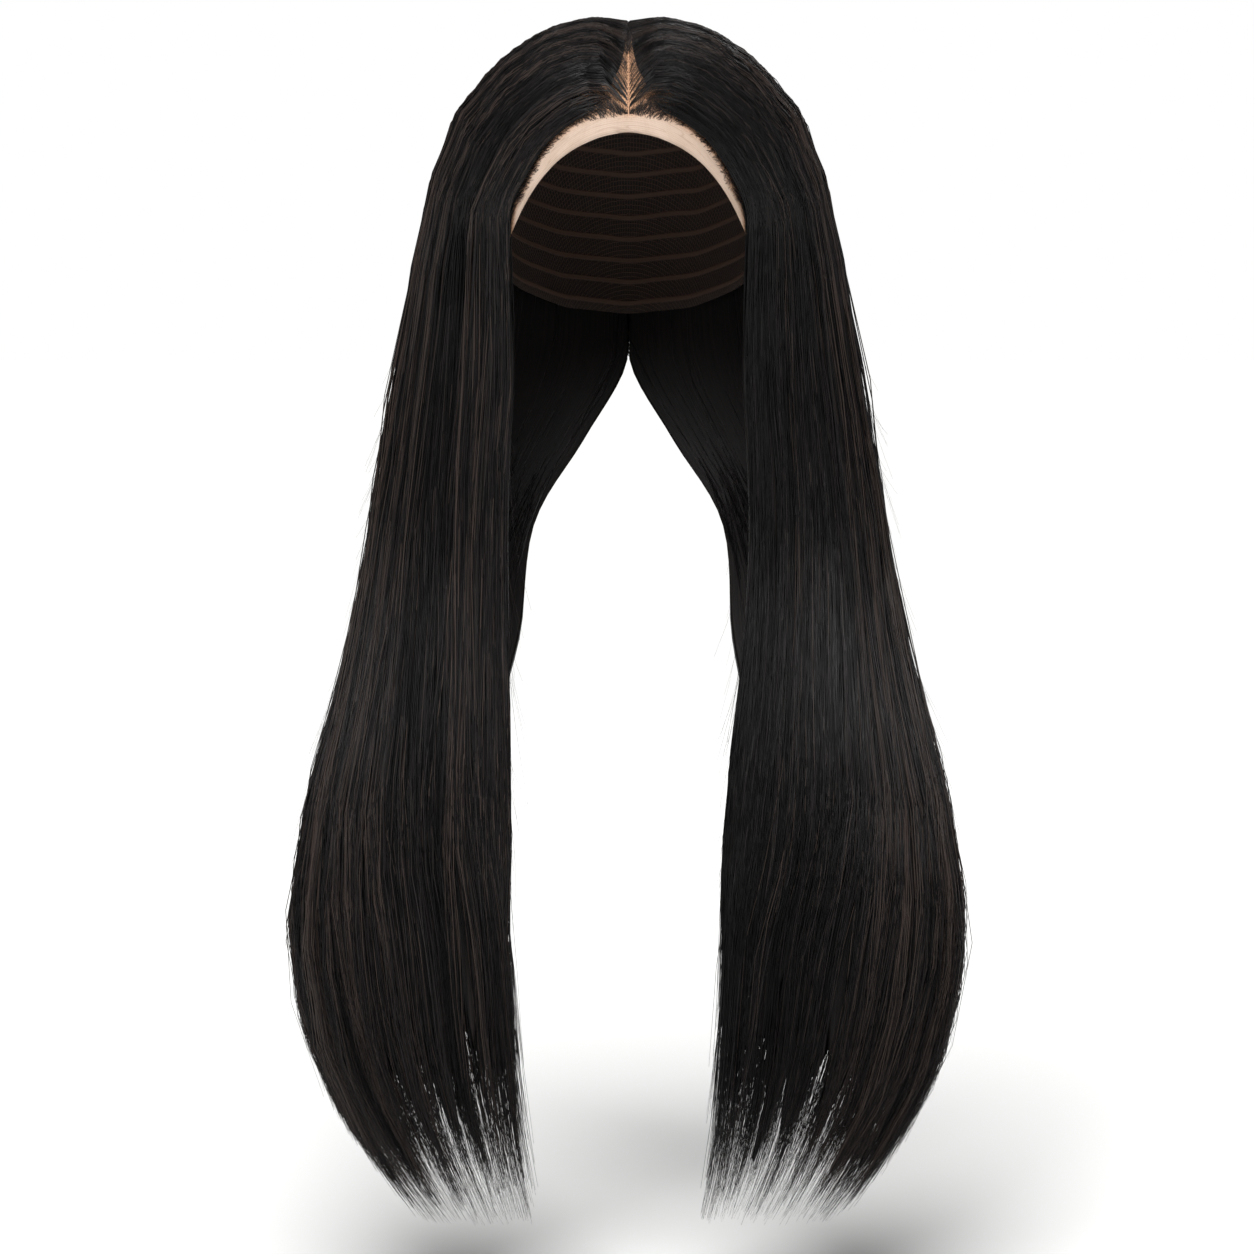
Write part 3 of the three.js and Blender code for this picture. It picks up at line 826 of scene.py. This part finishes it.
def end_hairs(side, rng, count=540, points=5):
    """Fine loose hairs at the ends, which dim the light between the wisps."""
    t = np.linspace(0, 1, points)[None, :]
    way = rng.random((count, 1))
    start = 13.4 + 0.9 * rng.random((count, 1))
    end = 15.95 - 0.9 * rng.random((count, 1)) ** 1.5
    drift = rng.normal(0, 0.03, (count, 1)) * t**1.5
    depth = rng.uniform(0.1, 0.9, (count, 1))
    lines = hair_points(start + (end - start) * t, np.clip(way + drift, 0, 1), depth, side)
    radius = fine_radius(rng, count, "end", 0.5, t)
    strand_piece(f"hair_ends_{side}", lines, radius, strand_tones(rng, way[:, 0], side))


for number, side in enumerate(SIDES):
    for section in LOCKS:
        hair_mass(section, side)
    rng = np.random.default_rng(SEED + 100 * number)
    hair_strands(side, rng)
    lining_strands(side, rng)
    flyaways(side, rng)
    baby_hairs(side, rng)
    end_hairs(side, rng)

# --- Cap ----------------------------------------------------------------------------------------------------

SHEET_COLUMNS, SHEET_ROWS = 97, 33
CLOTH_RADIUS, EDGE_RADIUS = 88, 85  # mean radii of the cap, by which its weave is laid out in millimetres
HAIRLINE_BLEND = (-4.5, 1.5)  # millimetres about the hairline over which the lace turns from bare to tied


def cap_sheet(name, towards, finish, thin_edge):
    """The lace before the seam (towards -1) or the net behind it (1): a thin closed sheet on the cap."""
    seam_y = SEAM_Y + towards * SEAM_GAP / 2
    across = np.linspace(0, 1, SHEET_COLUMNS)[None, :]
    down = np.linspace(0, 1, SHEET_ROWS)[:, None] ** 1.5
    first = CROWN * (1 - math.sqrt(1 - (seam_y / HALF_LENGTH) ** 2)) if towards < 0 else 0.0
    # The turn of the seam depends on the drop and the drop on the turn, so both start from a guess and close in.
    drop = first + 100 * down + 0 * across
    for _ in range(12):
        length = HALF_LENGTH * np.maximum(cap_reach(drop), 1e-6)
        seam_turn = np.degrees(np.arcsin(np.clip(seam_y / length, -1, 1)))
        far_turn = towards * 180 - seam_turn
        turn = seam_turn + (far_turn - seam_turn) * across
        side_turn = np.where(np.abs(turn) <= 90, turn, towards * 180 - turn)
        edge = cap_edge(side_turn)
        drop = first + (edge - first) * down
    wall = CAP_WALL * (1 - thin_edge * smooth(0.93, 1.0, down))
    outer, inner = cap_points(turn, drop, wall), cap_points(turn, drop, 0.0)
    over_crown = np.arccos(np.clip((CROWN - drop) / CROWN, 0, 1))
    below_crown = np.pi / 2 + (drop - CROWN) / CLOTH_RADIUS
    arc = CLOTH_RADIUS * np.where(drop < CROWN, over_crown, below_crown)
    angle = np.radians(turn)
    maps = {
        "Cloth": np.stack([arc * np.cos(angle), arc * np.sin(angle)], -1),
        "Edge": np.stack([EDGE_RADIUS * angle, edge - drop], -1),
    }
    made = closed_grid(name + "_cloth", outer, inner, maps, finish)
    if towards < 0:
        mark_tied(made.data)
    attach(made, "root")
    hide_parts(name)
    return made


def mark_tied(mesh):
    """Marks where hair is tied into the lace: everything behind the hairline."""
    points = np.zeros(len(mesh.vertices) * 3)
    mesh.vertices.foreach_get("co", points)
    x, y, z = points.reshape(-1, 3).T / MM
    line = hair_points(np.linspace(0, 5.5, 60), 0.0, 1.0, "left")
    line_turn = np.degrees(np.arctan2(line[:, 1] / HALF_LENGTH, line[:, 0] / HALF_WIDTH))
    order = np.argsort(line_turn)
    turn = np.degrees(np.arctan2(y / HALF_LENGTH, np.abs(x) / HALF_WIDTH))
    hairline = np.interp(turn, line_turn[order], -line[order, 2])
    tied = smooth(*HAIRLINE_BLEND, hairline + z)
    mesh.attributes.new("tied", "FLOAT", "POINT").data.foreach_set("value", tied.astype(np.float32))


lace = cap_sheet("lace_front", -1, LACE, 0.6)
net = cap_sheet("net_cap", 1, NET, 0.0)


# --- Stage --------------------------------------------------------------------------------------------------


def aim(made, place, target):
    """Puts a lamp or a camera at a place and turns it to a target."""
    made.location = place
    made.rotation_mode = "QUATERNION"
    made.rotation_quaternion = (Vector(target) - Vector(place)).to_track_quat("-Z", "Y")


def stage_set():
    """The floor, the white surroundings, the lamps and the camera at the photograph's angle."""
    scene = bpy.context.scene
    floor_mesh = bpy.data.meshes.new("floor")
    reach, level = 12.0, -0.69
    floor_mesh.from_pydata(
        [(-reach, -reach, level), (reach, -reach, level), (reach, reach, level), (-reach, reach, level)],
        [], [(0, 1, 2, 3)],
    )
    floor_mesh.materials.append(floor_material())
    add_object("floor", floor_mesh)

    world = bpy.data.worlds.new("white_studio")
    world.use_nodes = True
    tree = world.node_tree
    tree.nodes.clear()
    soft = node(tree, "ShaderNodeBackground", Color=linear("#ffffff"), Strength=0.15)
    white = node(tree, "ShaderNodeBackground", Color=linear("#ffffff"), Strength=1.0)
    seen = node(tree, "ShaderNodeLightPath").outputs["Is Camera Ray"]
    both = node(tree, "ShaderNodeMixShader", links={0: seen, 1: soft.outputs[0], 2: white.outputs[0]})
    node(tree, "ShaderNodeOutputWorld", links={"Surface": both.outputs[0]})
    scene.world = world

    # name, kind, place, target, size in metres or spread in degrees, power
    for name, kind, place, target, size, power in (
        ("sky", "SUN", (-0.25, -1.75, 2.0), (0, 0, 0), 36, 3.9),
        ("key", "AREA", (-0.7, -1.9, 1.5), (0, 0, -0.3), 0.5, 3.4),
        ("fill", "AREA", (1.3, -1.8, 0.05), (0, 0, -0.4), 0.7, 1.4),
        ("low", "AREA", (-1.2, -1.9, -0.1), (0, 0, -0.5), 0.7, 2.4),
        ("rim", "AREA", (0.5, 1.9, 0.7), (0, 0, -0.3), 1.2, 7),
    ):
        lamp = bpy.data.lights.new(name, kind)
        if kind == "SUN":
            lamp.angle = math.radians(size)
        else:
            lamp.shape = "DISK"
            lamp.size = size
        lamp.energy = power
        aim(add_object(name, lamp), place, target)

    lens = bpy.data.cameras.new("front")
    lens.lens, lens.sensor_width = 120.73, 36.0
    camera = add_object("front", lens)
    aim(camera, (-0.0008, -2.3, -0.08), (-0.0008, 0.0, -0.32395))
    scene.camera = camera
    scene.view_settings.view_transform = "Standard"


stage_set()
